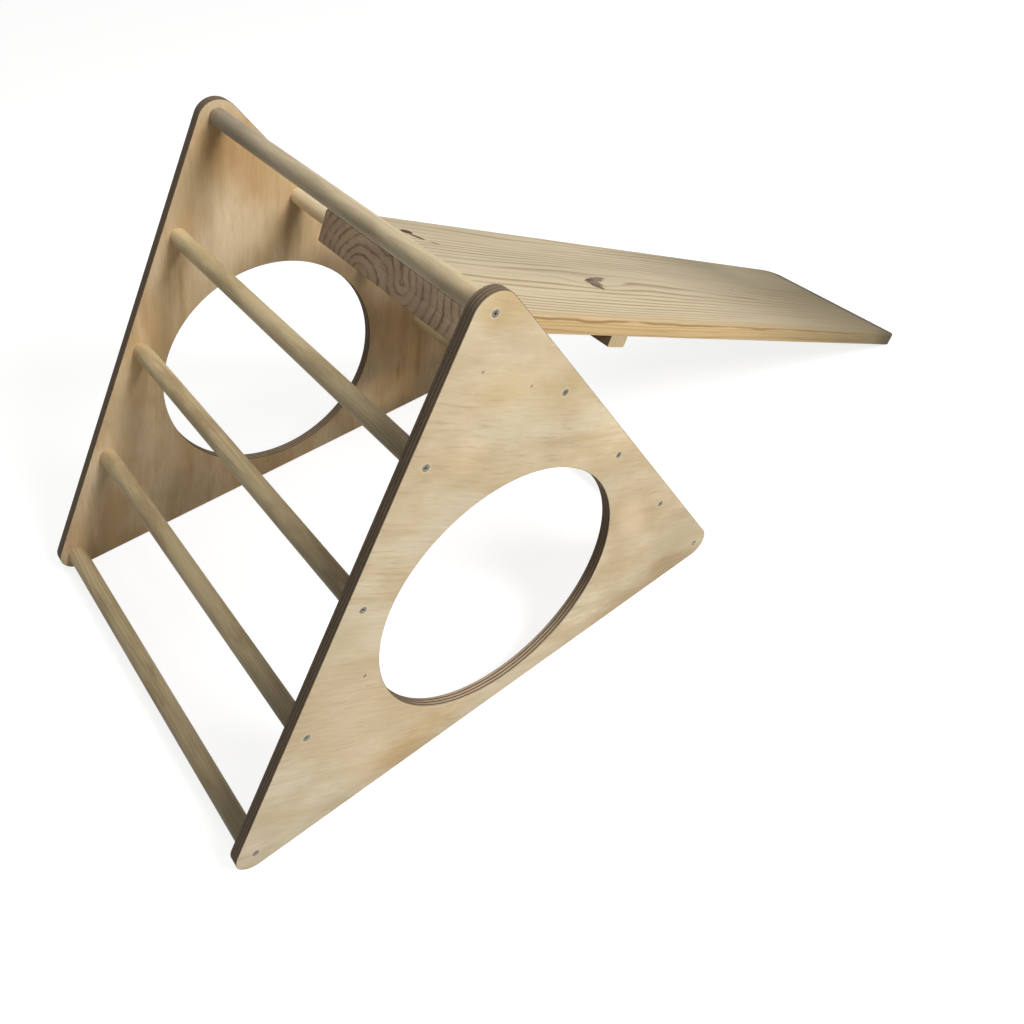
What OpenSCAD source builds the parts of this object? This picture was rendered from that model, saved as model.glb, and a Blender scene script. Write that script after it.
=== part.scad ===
// Toddler slide: a climbing triangle with a slide board hooked over one of its rungs.
// Millimetres. +X runs from the climbing side to the foot of the slide, +Y from the near panel
// to the far panel, +Z up. The floor is z = 0 and the origin is the middle of the footprint.

/* [Side panels] */
// Length of the base of the triangle, measured between the sharp corners
panel_base = 912; // [880:1:980]
// Height of the sharp apex above the floor
panel_height = 731; // [700:1:790]
// Thickness of the plywood
panel_thick = 16; // [12:0.5:25]
// Width of the frame over both panels
frame_width = 660; // [500:1:900]
// Radius of the two lower corners
foot_corner_r = 28; // [6:1:34]
// Radius of the corner at the apex
apex_corner_r = 33; // [10:1:44]
// Diameter of the crawl hole
hole_d = 390; // [250:1:410]
// Height of the middle of the crawl hole
hole_z = 228; // [215:1:250]

/* [Rungs] */
// Diameter of every rung
rung_d = 28; // [20:1:32]
// Distance down from the sharp apex to the axis of the top rung
top_rung_drop = 55; // [50:1:90]
// Distance along the edge from the apex to the first rung below the top one
first_rung = 234; // [215:1:250]
// Distance along the edge from the lower corner up to the lowest rung
last_rung = 50; // [40:0.5:75]
// Distance from the edge of the panel in to the axis of a rung
rung_inset = 27; // [20:0.5:30]

/* [Slide board] */
// Width of the board
board_width = 340; // [250:1:420]
// Thickness of the board
board_thick = 25; // [18:0.5:30]
// Length of the board from the rung that carries it down to its foot
board_below = 1207; // [1000:1:1500]
// How far the middle of the board lies toward the far panel
board_shift = -30; // [-60:1:60]
// Rounding of the two long top edges
board_edge_r = 4; // [1:0.5:8]
// Rounding of the top edge of the foot
foot_top_r = 13; // [4:0.5:14]
// Rounding of the bottom edge of the foot
foot_bottom_r = 5; // [1:0.5:8]
// Gap between the board and the rung that carries it
rest_gap = 0.3; // [0.2:0.1:1]

/* [Cleats] */
// Width of the upper cleat, measured along the board
upper_cleat_width = 49; // [40:1:80]
// Thickness of the upper cleat
upper_cleat_thick = 25; // [20:0.5:30]
// Gap between the upper cleat and the rung that it hooks over
hook_gap = 0.5; // [0.3:0.1:4]
// Width of the lower cleat, measured along the board
lower_cleat_width = 38; // [30:1:70]
// Thickness of the lower cleat
lower_cleat_thick = 18; // [15:0.5:25]
// Distance from the rung down to the lower cleat
lower_cleat_at = 223; // [150:1:600]
// Rounding of the lower edges of both cleats
cleat_edge_r = 3; // [1:0.5:6]

/* [Screws] */
// Diameter of the screws' shanks
screw_d = 4.8; // [4:0.1:6]
// Diameter of the screws' heads
screw_head_d = 9.6; // [8:0.1:12]
// Depth of the countersunk heads
screw_head_h = 2.8; // [2:0.1:4]
// Length of the screws that hold the rungs
rung_screw_length = 50; // [40:1:80]
// Extra radius of the clearance holes
screw_clearance = 0.2; // [0.1:0.05:0.5]
// How far the cleats' screws reach into the board
cleat_screw_bite = 14; // [8:0.5:15]
// Distance from the end of a cleat to its outer screws
cleat_screw_inset = 40; // [15:1:100]
// Length of a screw's point
screw_point = 4; // [2:0.5:6]
// Width of the arms of the cross recess
recess_arm = 1.3; // [0.8:0.1:1.6]
// Length of the cross recess over its arms
recess_span = 5.2; // [4:0.1:6]
// Depth of the cross recess
recess_depth = 1.8; // [1:0.1:2.2]
// Turn of each screw's cross from that of the screw before it, in degrees
recess_turn = 35; // [0:5:85]

/* [Hidden] */

$fn = 96;

// A cut runs this far past the face that it opens.
over = 1;
// Diameter of the flat end of a screw's point
screw_tip_d = 0.6;
// Rungs on each slanted edge, below the top rung
rungs_per_edge = 4;

// The triangle's two slanted edges are equal. u runs from the middle of the base, z from the
// floor. The foot angle is that of each lower corner.
half_base = panel_base / 2;
edge_length = norm([half_base, panel_height]);
foot_angle = atan2(panel_height, half_base);
half_apex_angle = 90 - foot_angle;
rung_pitch = (edge_length - first_rung - last_rung) / (rungs_per_edge - 1);
apex_corner = [0, panel_height];
back_corner = [half_base, 0];
front_corner = [-half_base, 0];

// A point at a distance down the back edge from the apex, and in from that edge.
function edge_point(along, inset) = [
    along * cos(foot_angle) - inset * sin(foot_angle),
    panel_height - along * sin(foot_angle) - inset * cos(foot_angle)
];
function front_of(p) = [-p.x, p.y];

top_rung_at = [0, panel_height - top_rung_drop];
back_rungs_at = [
    for (i = [0 : rungs_per_edge - 1]) edge_point(first_rung + i * rung_pitch, rung_inset)
];
front_rungs_at = [for (p = back_rungs_at) front_of(p)];
rungs_at = concat([top_rung_at], front_rungs_at, back_rungs_at);

// The board turns on the axis of back rung 1. Its own frame has its origin there, +X down the
// board and +Z square to it. The slope puts the rounded bottom edge of the foot on the floor.
pivot = back_rungs_at[0];
under_z = rung_d / 2 + rest_gap;
foot_reach = board_below - foot_bottom_r;
foot_rise = under_z + foot_bottom_r;
foot_drop = pivot.y - foot_bottom_r;
slope = asin(foot_drop / norm([foot_reach, foot_rise])) + atan2(foot_rise, foot_reach);
board_above = rung_d / 2 + hook_gap + upper_cleat_width;

// Footprint of the whole object along u, which puts the origin in its middle.
lowest_u = -half_base + foot_corner_r * (1 / tan(foot_angle / 2) - 1);
foot_arc_x = board_below - foot_top_r;
foot_arc_z = under_z + board_thick - foot_top_r;
highest_u = pivot.x + foot_arc_x * cos(slope) + foot_arc_z * sin(slope) + foot_top_r;
frame_x = -(lowest_u + highest_u) / 2;

rung_length = frame_width - 2 * panel_thick;
rung_screw_bite = rung_screw_length - panel_thick;
cleat_screws_at = [
    -board_width / 2 + cleat_screw_inset, 0, board_width / 2 - cleat_screw_inset
];

// ---- helpers -----------------------------------------------------------------------------

// Places a flat shape in u and z as an upright slab, thick along Y and centred on it.
module upright(thick) {
    translate([frame_x, 0, 0])
        rotate([90, 0, 0])
            linear_extrude(thick, center = true)
                children();
}

// The board's own frame.
module on_slope() {
    translate([frame_x + pivot.x, board_shift, pivot.y])
        rotate([0, slope, 0])
            children();
}

// Turns a shape that stands on the near panel's outer face, +Z inward, to each of the points.
module at_near_face(points) {
    for (i = [0 : len(points) - 1])
        translate([frame_x + points[i].x, -frame_width / 2, points[i].y])
            rotate([-90, 0, 0])
                rotate([0, 0, i * recess_turn])
                    children();
}

module far_side() {
    mirror([0, 1, 0])
        children();
}

// What a round of radius r leaves over in the corner at +X +Y of its centre.
module corner_waste(r) {
    difference() {
        square(r + over);
        circle(r);
    }
}

// Countersunk wood screw, its head at z = 0 and its point toward +Z.
module screw(length) {
    difference() {
        union() {
            cylinder(h = screw_head_h, d1 = screw_head_d, d2 = screw_d);
            cylinder(h = length - screw_point, d = screw_d);
            translate([0, 0, length - screw_point])
                cylinder(h = screw_point, d1 = screw_d, d2 = screw_tip_d);
        }
        for (turn = [0, 90])
            rotate([0, 0, turn])
                translate([-recess_span / 2, -recess_arm / 2, -over])
                    cube([recess_span, recess_arm, recess_depth + over]);
    }
}

// Clearance hole and countersink for a screw through a piece of this thickness.
module screw_way(thick) {
    cylinder(h = screw_head_h, d1 = screw_head_d, d2 = screw_d);
    translate([0, 0, -over])
        cylinder(h = thick + 2 * over, r = screw_d / 2 + screw_clearance);
}

// Pilot hole that a screw fills, this deep beyond the face it enters.
module pilot(deep) {
    translate([0, 0, -over])
        cylinder(h = deep + over, d = screw_d);
}

// ---- climbing frame ----------------------------------------------------------------------

// A corner of the triangle is rounded by cutting its tip off square to the corner's own line
// and putting a disc there. Each corner is given with half of its angle.
module corner_disc(corner, inward, r, half_angle) {
    translate(corner + inward * r / sin(half_angle))
        circle(r);
}

// The tip of a corner, out to the points where the disc touches the two sides.
module corner_tip(corner, toward_a, toward_b, r, half_angle) {
    reach = r / tan(half_angle);
    polygon([corner - (toward_a + toward_b), corner + toward_a * reach, corner + toward_b * reach]);
}

module panel_outline() {
    down_back = (back_corner - apex_corner) / edge_length;
    down_front = (front_corner - apex_corner) / edge_length;
    half_foot = foot_angle / 2;
    difference() {
        polygon([front_corner, back_corner, apex_corner]);
        corner_tip(apex_corner, down_back, down_front, apex_corner_r, half_apex_angle);
        corner_tip(back_corner, -down_back, [-1, 0], foot_corner_r, half_foot);
        corner_tip(front_corner, -down_front, [1, 0], foot_corner_r, half_foot);
    }
    corner_disc(apex_corner, [0, -1], apex_corner_r, half_apex_angle);
    corner_disc(back_corner, [-cos(half_foot), sin(half_foot)], foot_corner_r, half_foot);
    corner_disc(front_corner, [cos(half_foot), sin(half_foot)], foot_corner_r, half_foot);
}

module side_panel() {
    difference() {
        translate([0, (panel_thick - frame_width) / 2, 0])
            upright(panel_thick)
                difference() {
                    panel_outline();
                    translate([0, hole_z])
                        circle(d = hole_d);
                }
        at_near_face(rungs_at)
            screw_way(panel_thick);
    }
}

module rung(at) {
    difference() {
        translate([frame_x + at.x, 0, at.y])
            rotate([90, 0, 0])
                cylinder(h = rung_length, d = rung_d, center = true);
        for (side = [0, 1])
            mirror([0, side, 0])
                at_near_face([at])
                    translate([0, 0, panel_thick])
                        pilot(rung_screw_bite);
    }
}

module side_panel_near() {
    color("#d9c39a")
        side_panel();
}

module side_panel_far() {
    color("#c9ad83")
        far_side()
            side_panel();
}

module top_rung() {
    color("#c2b083")
        rung(top_rung_at);
}

module front_rung(i) {
    color("#bda97c")
        rung(front_rungs_at[i]);
}

module back_rung(i) {
    color("#b8a274")
        rung(back_rungs_at[i]);
}

module rung_screws(points) {
    color("#8f969b")
        at_near_face(points)
            screw(rung_screw_length);
}

// ---- slide -------------------------------------------------------------------------------

// Side view of the board, its underside on the u axis and the rung's axis at u = 0.
module board_side() {
    difference() {
        translate([-board_above, 0])
            square([board_above + board_below, board_thick]);
        translate([board_below - foot_top_r, board_thick - foot_top_r])
            corner_waste(foot_top_r);
        translate([board_below - foot_bottom_r, foot_bottom_r])
            mirror([0, 1])
                corner_waste(foot_bottom_r);
    }
}

// What is planed off one long top edge, along the whole board.
module edge_waste() {
    translate([-board_above - over, board_width / 2 - board_edge_r, board_thick - board_edge_r])
        rotate([90, 0, 90])
            linear_extrude(board_above + board_below + 2 * over)
                corner_waste(board_edge_r);
}

// Turns a screw that stands on a cleat's lower face, its point toward the board.
module at_cleat_screws(along, down) {
    for (i = [0 : len(cleat_screws_at) - 1])
        translate([along, cleat_screws_at[i], -down])
            rotate([0, 0, i * recess_turn])
                children();
}

upper_cleat_mid = -board_above + upper_cleat_width / 2;
lower_cleat_mid = lower_cleat_at + lower_cleat_width / 2;

module slide_board() {
    color("#cdbf9c")
        on_slope()
            translate([0, 0, under_z])
                difference() {
                    rotate([90, 0, 0])
                        linear_extrude(board_width, center = true)
                            board_side();
                    edge_waste();
                    mirror([0, 1, 0])
                        edge_waste();
                    for (mid = [upper_cleat_mid, lower_cleat_mid])
                        at_cleat_screws(mid, 0)
                            pilot(cleat_screw_bite);
                }
}

// A bar across the board's underside, its two lower long edges rounded.
module cleat(from, wide, thick) {
    mid = from + wide / 2;
    on_slope()
        translate([0, 0, under_z])
            difference() {
                rotate([90, 0, 0])
                    linear_extrude(board_width, center = true)
                        difference() {
                            translate([from, -thick])
                                square([wide, thick]);
                            for (end = [0, 1])
                                translate([mid, 0])
                                    mirror([end, 0])
                                        translate([wide / 2 - cleat_edge_r, cleat_edge_r - thick])
                                            mirror([0, 1])
                                                corner_waste(cleat_edge_r);
                        }
                at_cleat_screws(mid, thick)
                    screw_way(thick);
            }
}

module cleat_screws(mid, thick) {
    color("#8f969b")
        on_slope()
            translate([0, 0, under_z])
                at_cleat_screws(mid, thick)
                    screw(thick + cleat_screw_bite);
}

module upper_cleat() {
    color("#a8926d")
        cleat(-board_above, upper_cleat_width, upper_cleat_thick);
}

module lower_cleat() {
    color("#d6bd8a")
        cleat(lower_cleat_at, lower_cleat_width, lower_cleat_thick);
}

// ---- nodes -------------------------------------------------------------------------------

side_panel_near();
side_panel_far();
top_rung();
for (i = [0 : rungs_per_edge - 1]) {
    front_rung(i);
    back_rung(i);
}
rung_screws(front_rungs_at);  // near_front_screws
rung_screws(back_rungs_at);  // near_back_screws
rung_screws([top_rung_at]);  // near_apex_screw
far_side() rung_screws(front_rungs_at);  // far_front_screws
far_side() rung_screws(back_rungs_at);  // far_back_screws
far_side() rung_screws([top_rung_at]);  // far_apex_screw
slide_board();
upper_cleat();
lower_cleat();
cleat_screws(upper_cleat_mid, upper_cleat_thick);  // upper_cleat_screws
cleat_screws(lower_cleat_mid, lower_cleat_thick);  // lower_cleat_screws
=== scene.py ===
import math
from functools import partialmethod

import bmesh
import bpy
from bpy.props import FloatProperty, FloatVectorProperty, IntProperty, PointerProperty
from bpy.types import Operator, Panel, PropertyGroup
from mathutils import Euler, Matrix, Vector
from mathutils.geometry import tessellate_polygon


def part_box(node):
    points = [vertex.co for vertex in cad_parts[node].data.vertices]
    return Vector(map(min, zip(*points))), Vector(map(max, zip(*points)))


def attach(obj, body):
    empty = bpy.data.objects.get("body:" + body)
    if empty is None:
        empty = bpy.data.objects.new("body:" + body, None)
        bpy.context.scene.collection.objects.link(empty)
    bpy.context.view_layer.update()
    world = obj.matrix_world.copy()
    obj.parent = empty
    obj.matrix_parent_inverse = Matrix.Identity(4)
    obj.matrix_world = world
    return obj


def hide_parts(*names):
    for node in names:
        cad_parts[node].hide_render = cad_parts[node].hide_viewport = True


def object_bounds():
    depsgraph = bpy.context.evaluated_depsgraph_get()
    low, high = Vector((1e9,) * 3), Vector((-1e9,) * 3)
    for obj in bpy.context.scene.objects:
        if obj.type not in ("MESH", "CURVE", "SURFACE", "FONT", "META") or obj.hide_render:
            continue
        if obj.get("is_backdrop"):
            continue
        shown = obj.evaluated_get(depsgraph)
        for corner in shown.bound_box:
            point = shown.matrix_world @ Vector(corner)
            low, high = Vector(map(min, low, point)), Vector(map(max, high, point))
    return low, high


bl_info = {
    "name": "Toddler Slide",
    "version": (1, 0, 0),
    "blender": (4, 5, 0),
    "location": "3D View > Sidebar > Toddler Slide",
    "description": "Plywood climbing triangle with dowel rungs and a slide board",
    "category": "Object",
}

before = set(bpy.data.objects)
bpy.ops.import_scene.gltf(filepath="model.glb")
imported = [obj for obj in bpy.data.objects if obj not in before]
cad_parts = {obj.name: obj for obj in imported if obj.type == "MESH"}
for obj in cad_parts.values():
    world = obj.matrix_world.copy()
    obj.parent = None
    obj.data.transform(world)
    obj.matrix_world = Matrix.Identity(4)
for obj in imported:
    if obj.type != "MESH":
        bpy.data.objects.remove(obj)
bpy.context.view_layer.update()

FRAME_BODY = "climbing_frame"
SLIDE_BODY = "slide"
PANELS = ("side_panel_near", "side_panel_far")
RUNGS = ("top_rung",) + tuple(f"{side}_rung_{i}" for side in ("front", "back") for i in (1, 2, 3, 4))
FRAME_SCREWS = tuple(f"{side}_{where}" for side in ("near", "far")
                     for where in ("front_screws", "back_screws", "apex_screw"))
CLEAT_SCREWS = ("upper_cleat_screws", "lower_cleat_screws")

# How far a piece may reach outside the CAD nodes that it stands for, in metres.
SIZE_SLACK = 0.0002
# Facets round the crawl hole and round a screw, and steps round a panel's feet and its apex.
HOLE_SIDES, SCREW_SIDES, FOOT_STEPS, APEX_STEPS = 160, 24, 20, 28
# Steps of a sanded edge, and of the lower and the upper edges of the board and the cleats.
ARRIS_STEPS, LOWER_STEPS, UPPER_STEPS = 3, 3, 7
# One turn of a screw's thread: shares of the shank's radius and of the pitch.
THREAD = ((0.78, 0.25), (0.78, 0.65), (0.99, 0.88), (0.99, 0.98))
# Share of a screw below its head that has no thread.
PLAIN_SHARE = 0.35
# How far a face of the upper cleat leans along the board, from which it shows end grain.
END_LEAN = 0.35
# Angle in degrees over which an edge between faces stays sharp, on sawn and on turned pieces.
SAWN_SHARP, TURNED_SHARP = 35.0, 50.0

# Darker and paler patches of each panel, partly the veneer's own tone and partly painted light and
# shade (shadows under the rung ends and the board, lit strips along the edges): middle, reach, turn
# in degrees and tint.
NEAR_TONE_AND_LIGHTING_PATCHES = (
    ((-0.060, 0.020), (0.130, 0.060), 0, (0.84, 0.82, 0.78)),
    ((-0.010, 0.080), (0.110, 0.085), 0, (0.72, 0.69, 0.64)),
    ((-0.140, 0.205), (0.030, 0.055), 20, (1.28, 1.28, 1.38)),
    ((-0.150, 0.045), (0.075, 0.035), 0, (0.87, 0.86, 0.84)),
    ((-0.372, 0.690), (0.050, 0.045), 0, (0.97, 0.93, 0.82)),
    ((-0.365, 0.570), (0.070, 0.045), -20, (0.96, 0.91, 0.79)),
    ((-0.215, 0.390), (0.085, 0.055), -10, (1.16, 1.17, 1.18)),
    ((-0.330, 0.410), (0.120, 0.040), -33, (1.08, 1.08, 1.06)),
    ((-0.290, 0.510), (0.080, 0.040), -33, (0.93, 0.91, 0.82)),
    ((-0.620, 0.330), (0.035, 0.055), 58, (0.86, 0.84, 0.78)),
    ((-0.650, 0.120), (0.160, 0.120), 0, (1.06, 1.08, 1.11)),
    ((-0.635, 0.210), (0.070, 0.080), 0, (1.08, 1.10, 1.16)),
    ((-0.620, 0.095), (0.040, 0.090), 0, (1.10, 1.11, 1.16)),
    ((-0.435, 0.500), (0.035, 0.035), 0, (1.12, 1.12, 1.12)),
    ((-0.800, 0.045), (0.030, 0.045), 0, (1.14, 1.18, 1.32)),
    ((-0.740, 0.030), (0.120, 0.100), 0, (1.05, 1.10, 1.16)),
    ((-0.540, 0.035), (0.110, 0.035), 5, (0.95, 0.87, 0.76)))
FAR_TONE_AND_LIGHTING_PATCHES = (
    ((-0.345, 0.590), (0.120, 0.055), -58, (0.84, 0.72, 0.57)),
    ((-0.385, 0.700), (0.050, 0.045), 0, (1.14, 1.32, 1.62)),
    ((-0.505, 0.535), (0.130, 0.025), 58, (1.10, 1.18, 1.36)),
    # Painted shadows under the stub of the board's rung and below the board.
    ((-0.315, 0.470), (0.045, 0.050), -10, (0.62, 0.58, 0.50)),
    ((-0.220, 0.370), (0.065, 0.042), -30, (0.62, 0.60, 0.57)),
    ((-0.425, 0.500), (0.055, 0.090), 0, (1.08, 1.10, 1.16)),
    # Painted light along the far panel's lower left edge.
    ((-0.610, 0.340), (0.300, 0.028), 58, (1.36, 1.38, 1.42)),
    ((-0.770, 0.100), (0.150, 0.035), 58, (1.24, 1.27, 1.40)),
    ((-0.505, 0.450), (0.030, 0.090), 0, (0.90, 0.87, 0.79)),
    ((-0.640, 0.240), (0.040, 0.050), 0, (0.88, 0.87, 0.86)),
    # Painted light on the lower right of the far panel.
    ((-0.135, 0.130), (0.060, 0.120), 0, (1.26, 1.24, 1.22)),
    ((-0.190, 0.055), (0.075, 0.055), 0, (1.58, 1.58, 1.58)),
    ((-0.225, 0.080), (0.055, 0.050), 0, (1.26, 1.25, 1.26)),
    ((-0.100, 0.050), (0.055, 0.045), 0, (1.24, 1.24, 1.30)),
    ((-0.055, 0.110), (0.040, 0.065), 81, (1.24, 1.22, 1.18)),
    ((-0.165, 0.030), (0.045, 0.030), 0, (1.12, 1.14, 1.14)),
    ((-0.087, 0.105), (0.075, 0.006), 81, (0.76, 0.74, 0.68)),
    ((-0.137, 0.088), (0.026, 0.005), 81, (0.82, 0.70, 0.60)),
    ((-0.590, 0.050), (0.080, 0.070), 0, (0.76, 0.75, 0.74)))
# Pin knots of the near panel: middle and size.
NEAR_PINS = (((-0.598, 0.237), 0.0030), ((-0.333, 0.555), 0.0022), ((-0.401, 0.609), 0.0022))
# Reach of the paler veneer round each screw.
SCREW_RIM = (0.0085, 0.0085)

# Marks on the board, by their place along and across it, their reach and their turn.
KNOT = ((0.330, -0.025), (0.065, 0.026))
SMALL_KNOT = ((0.777, 0.005), (0.030, 0.009))
SMALL_KNOT_HEART = (0.007, 0.003)
KNOT_HEARTS = (((0.319, -0.030), (0.020, 0.015), 0.0),
               ((0.338, -0.013), (0.036, 0.0085), 0.33),
               ((0.313, -0.042), (0.018, 0.0095), -0.98))
KNOT_RIMS = (((0.313, -0.036), (0.017, 0.0045), -0.98),
             ((0.318, -0.018), (0.019, 0.0038), 0.33))
# The board's drying checks, the same way, each with its depth.
CHECKS = (((0.038, 0.110), (0.0095, 0.0078), 0.0, 1.0),
          ((0.045, 0.092), (0.0120, 0.0042), -0.96, 0.95),
          ((0.065, 0.073), (0.0080, 0.0034), -0.4, 0.55))

# The lights: name, place from the object's middle, and diameter.
LIGHTS = (("Key", (1.15, -3.10, 2.90), 1.9), ("Top", (-0.10, 0.00, 2.20), 1.2))


# ---- sizes and colours -------------------------------------------------------------------

def length(name, default, description):
    return FloatProperty(name=name, description=description, default=default, unit="LENGTH")


def angle(name, degrees, description):
    return FloatProperty(name=name, description=description, default=math.radians(degrees),
                         subtype="ANGLE")


def number(name, default, description, unit="NONE"):
    return FloatProperty(name=name, description=description, default=default, unit=unit)


def count(name, default, description):
    return IntProperty(name=name, description=description, default=default)


def colour(name, default, description):
    return FloatVectorProperty(name=name, description=description, default=default,
                               subtype="COLOR", size=3, min=0.0, max=1.0)


class PanelSizes(PropertyGroup):
    """The triangular plywood side panels."""
    base: length("Base", 0.912, "Length of the base between sharp corners")
    height: length("Height", 0.731, "Height of the sharp apex")
    foot_radius: length("Foot radius", 0.028, "Radius of the two lower corners")
    apex_radius: length("Apex radius", 0.033, "Radius of the top corner")
    hole_radius: length("Hole radius", 0.195, "Radius of the crawl hole")
    hole_height: length("Hole height", 0.228, "Height of the crawl hole's middle")
    arris: length("Arris", 0.0007, "Radius of the sanded edges")
    screw_play: length("Screw play", 0.0001, "Gap round each screw")
    plies: count("Plies", 7, "Number of plies")
    near_grain: angle("Near grain", -30, "Direction of the near panel's grain")
    far_grain: angle("Far grain", 78, "Direction of the far panel's grain")


class RungSizes(PropertyGroup):
    """The dowels between the panels."""
    sides: count("Sides", 48, "Facets round a rung")
    stations: count("Stations", 60, "Rings along a rung")
    wobble: length("Wobble", 0.00022, "How far a sanded dowel departs from true")
    seed: count("Seed", 126, "Picks each rung's turn and tone")


class BoardSizes(PropertyGroup):
    """The slide board and its two cleats."""
    below: length("Below the rung", 1.207, "Length from its rung to the foot")
    above: length("Above the rung", 0.0635, "Length from its rung to the upper end")
    thick: length("Thickness", 0.025, "Thickness of the board")
    rest_gap: length("Rest gap", 0.0003, "Gap between the board and its rung")
    edge_radius: length("Edge radius", 0.004, "Rounding of the long top edges")
    foot_top_radius: length("Foot top radius", 0.013, "Rounding over the foot")
    foot_bottom_radius: length("Foot bottom radius", 0.005, "Rounding under the foot")
    near_corner_radius: length("Near corner radius", 0.030, "Rounding of the foot's near corner")
    far_corner_radius: length("Far corner radius", 0.055, "Rounding of the foot's far corner")
    arris: length("Arris", 0.0008, "Radius of the planed edges")
    sawn_arris: length("Sawn arris", 0.0003, "Radius of the sawn ends' edges")
    upper_cleat_width: length("Upper cleat width", 0.049, "Its width along the board")
    upper_cleat_thick: length("Upper cleat thickness", 0.025, "Its thickness")
    lower_cleat_width: length("Lower cleat width", 0.038, "Its width along the board")
    lower_cleat_thick: length("Lower cleat thickness", 0.018, "Its thickness")
    lower_cleat_at: length("Lower cleat position", 0.223, "Distance from the rung down to it")
    cleat_radius: length("Cleat radius", 0.003, "Rounding of the cleats' lower edges")
    screw_inset: length("Cleat screw inset", 0.040, "From a cleat's end to its outer screws")


class ScrewSizes(PropertyGroup):
    """Countersunk wood screws with a cross recess."""
    head: length("Head", 0.0096, "Diameter of the head")
    shank: length("Shank", 0.0048, "Diameter of the shank")
    head_depth: length("Head depth", 0.0028, "Depth of the countersunk head")
    point: length("Point", 0.004, "Length of the point")
    pitch: length("Pitch", 0.002, "Distance between turns of the thread")
    rung_length: length("Rung screw length", 0.050, "Length of a rung's screw")
    cleat_bite: length("Cleat screw bite", 0.014, "How far a cleat's screws reach into the board")
    recess_span: length("Recess span", 0.0052, "Length of the cross recess")
    recess_arm: length("Recess arm", 0.0013, "Width of the recess's arms")
    recess_depth: length("Recess depth", 0.0018, "Depth of the cross recess")
    seed: count("Seed", 7, "Picks each screw's turn")


class Finishes(PropertyGroup):
    """Colours of the woods and of the screws, among them colours that paint light and shade on the
    rungs, the board and the lower cleat.
    """
    veneer_pale: colour("Veneer, pale", (0.770, 0.648, 0.448), "Palest tone of the near panel")
    veneer_warm: colour("Veneer, warm", (0.625, 0.480, 0.285), "Middle tone of the near panel")
    veneer_dark: colour("Veneer, dark", (0.430, 0.290, 0.145), "Darkest streaks of the near panel")
    far_pale: colour("Far veneer, pale", (0.730, 0.560, 0.345), "Palest tone of the far panel")
    far_warm: colour("Far veneer, warm", (0.560, 0.385, 0.195), "Middle tone of the far panel")
    far_dark: colour("Far veneer, dark", (0.330, 0.205, 0.105), "Darkest streaks of the far panel")
    far_red: colour("Far veneer, red", (0.36, 0.17, 0.075), "Red streaks of the far panel")
    pin: colour("Pin knot", (0.16, 0.095, 0.050), "Pin knots of the veneer")
    ply_long: colour("Ply, long grain", (0.520, 0.400, 0.275), "Plies that show their long grain")
    ply_end: colour("Ply, end grain", (0.125, 0.078, 0.044), "Plies that show their end grain")
    glue: colour("Glue", (0.05, 0.030, 0.018), "Glue lines between the plies")
    dowel_pale: colour("Dowel, pale", (0.600, 0.478, 0.275), "Early wood of the rungs")
    dowel_dark: colour("Dowel, dark", (0.290, 0.200, 0.098), "Late wood of the rungs")
    dowel_yellow: colour("Dowel, yellow", (0.550, 0.440, 0.235), "Yellow patches of the rungs")
    # Grey for a painted sheen over the top rung.
    dowel_grey: colour("Dowel, grey", (0.560, 0.520, 0.430), "Handled wood of the top rung")
    # Pale colour for painted light on the stub of the board's rung.
    dowel_fresh: colour("Dowel, fresh", (0.800, 0.680, 0.470), "Clean end of the board's rung")
    board_pale: colour("Board, pale", (0.684, 0.572, 0.389), "Early wood of the slide board")
    board_dark: colour("Board, dark", (0.420, 0.315, 0.185), "Late wood of the slide board")
    board_glow: colour("Board, near side", (0.610, 0.460, 0.245), "Yellow wood at the near side")
    board_edge: colour("Board, edge", (0.772, 0.556, 0.283), "Yellow wood of the long edges")
    board_band: colour("Board, bands", (0.50, 0.28, 0.110), "Late wood of the long edges")
    board_line: colour("Board, line", (0.290, 0.180, 0.075), "Dark line along the long edges")
    board_knot: colour("Board, knot", (0.180, 0.120, 0.085), "Knots of the slide board")
    board_rim: colour("Board, knot rim", (0.105, 0.066, 0.050), "Dark rims of the large knot")
    board_check: colour("Board, checks", (0.060, 0.038, 0.018), "Drying checks of the board")
    # Colour for painted shade toward the foot.
    board_foot: colour("Board, foot", (0.215, 0.170, 0.098), "Darker wood toward the foot")
    # Colour for painted shade at the foot's end.
    board_lip: colour("Board, lip", (0.066, 0.053, 0.028), "Darkest wood, at the foot's end")
    end_pale: colour("End grain, pale", (0.640, 0.480, 0.330), "Early wood across the grain")
    end_dark: colour("End grain, dark", (0.265, 0.178, 0.112), "Late wood across the grain")
    end_heart: colour("End grain, heart", (0.30, 0.165, 0.135), "Heartwood across the grain")
    cleat_pale: colour("Cleat, pale", (0.640, 0.500, 0.290), "Early wood of the cleats")
    cleat_dark: colour("Cleat, dark", (0.420, 0.280, 0.140), "Late wood of the cleats")
    # Colour for painted shade on the lower cleat's uphill face.
    cleat_brown: colour("Cleat, brown", (0.120, 0.072, 0.035), "Upper face of the lower cleat")
    zinc: colour("Zinc", (0.225, 0.222, 0.185), "Plating of the screws")


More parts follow.
